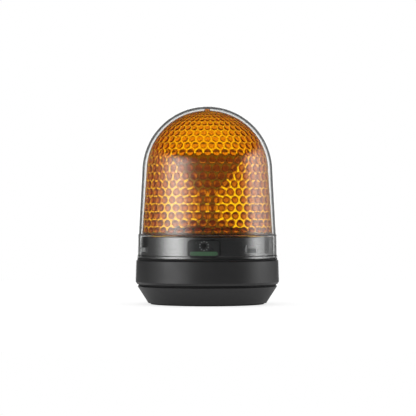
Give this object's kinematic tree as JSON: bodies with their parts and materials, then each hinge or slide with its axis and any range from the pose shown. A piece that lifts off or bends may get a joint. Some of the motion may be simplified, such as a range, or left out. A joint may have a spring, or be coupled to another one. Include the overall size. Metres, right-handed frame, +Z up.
{
  "type": "rotating beacon",
  "caption": "Rotating mirror beacon: amber lens under a clear bayonet globe, dark band and conical foot, with an LED, geared motor and V mirror.",
  "frame": {"origin": "centre of the seating face, on the underside of the mounting gasket", "axes": "+Z up along the beacon's axis, -Y towards the front, where the function badge is"},
  "size_m": [0.1, 0.1, 0.1381],
  "materials": {
    "grey_abs": "fine spark texture",
    "black_abs": "satin",
    "clear_globe": "polished polycarbonate",
    "amber_lens": "polished, moulded with round lenslets",
    "black_rubber": "satin",
    "foam_rubber": "matte, closed-cell",
    "badge_label": "printed film",
    "brass": "turned",
    "bronze": "sintered, oiled",
    "acetal": "moulded natural",
    "gear_acetal": "moulded natural",
    "spring_steel": "ground",
    "plated_steel": "zinc plated",
    "aluminium": "turned",
    "led_board": "white solder mask",
    "led_chip": "silicone over phosphor",
    "clear_optic": "polished acrylic",
    "mirror_film": "vacuum metallised",
    "circuit_board": "solder mask",
    "capacitor_sleeve": "shrink sleeve",
    "ferrite": "sintered",
    "chip_epoxy": "moulded",
    "lead_sleeve": "extruded PVC",
    "green_terminal": "moulded"
  },
  "bodies": {
    "base": {"mounting_gasket": "foam_rubber", "foot_cover": "grey_abs", "mounting_inserts": "brass", "cable_grommet": "black_rubber", "base_housing": "grey_abs", "body_seal": "black_rubber", "globe_seal": "black_rubber", "function_badge": "badge_label", "chassis_deck": "black_abs", "bearing_sleeve": "acetal", "thrust_washer": "acetal", "snap_ring": "spring_steel", "heat_sink": "aluminium", "lamp_board": "led_board", "lamp_chips": "led_chip", "lamp_optic": "clear_optic", "idler_pin": "spring_steel", "idler_clip": "spring_steel", "motor_case": "plated_steel", "control_board": "circuit_board", "capacitor": "capacitor_sleeve", "choke": "ferrite", "driver_chip": "chip_epoxy", "terminal_block": "green_terminal", "terminal_screws": "plated_steel", "lamp_leads": "lead_sleeve", "motor_leads": "lead_sleeve", "case_screws": "plated_steel", "deck_screws": "plated_steel", "board_screws": "plated_steel", "motor_screws": "plated_steel"},
    "rotor": {"ring_gear": "gear_acetal", "rotor_bush": "bronze", "mirror_right": "mirror_film", "mirror_left": "mirror_film", "reflector_frame": "black_abs", "reflector_cap": "black_abs", "rotor_screws": "plated_steel"},
    "idler": {"idler_gear": "gear_acetal"},
    "motor_rotor": {"motor_shaft": "spring_steel", "motor_pinion": "brass"},
    "globe_unit": {"globe": "clear_globe", "signal_lens": "amber_lens"}
  },
  "joints": [
    {"name": "rotor_spin", "type": "hinge", "parent": "base", "child": "rotor", "pos_m": [0, 0, 0.05], "axis": [0, 0, 1], "continuous": true},
    {"name": "idler_spin", "type": "hinge", "parent": "base", "child": "idler", "pos_m": [0.00862, 0.03248, 0.048], "axis": [0, 0, 1], "continuous": true},
    {"name": "motor_spin", "type": "hinge", "parent": "base", "child": "motor_rotor", "pos_m": [0.01688, 0.026, 0.036], "axis": [0, 0, 1], "continuous": true},
    {"name": "globe_twist", "type": "hinge", "parent": "base", "child": "globe_unit", "pos_m": [0, 0, 0.04], "axis": [0, 0, 1], "range_deg": [0, 18]}
  ],
  "couplings": [
    {"joint": "idler_spin", "follows": "rotor_spin", "ratio": -6},
    {"joint": "motor_spin", "follows": "rotor_spin", "ratio": 19.2}
  ]
}
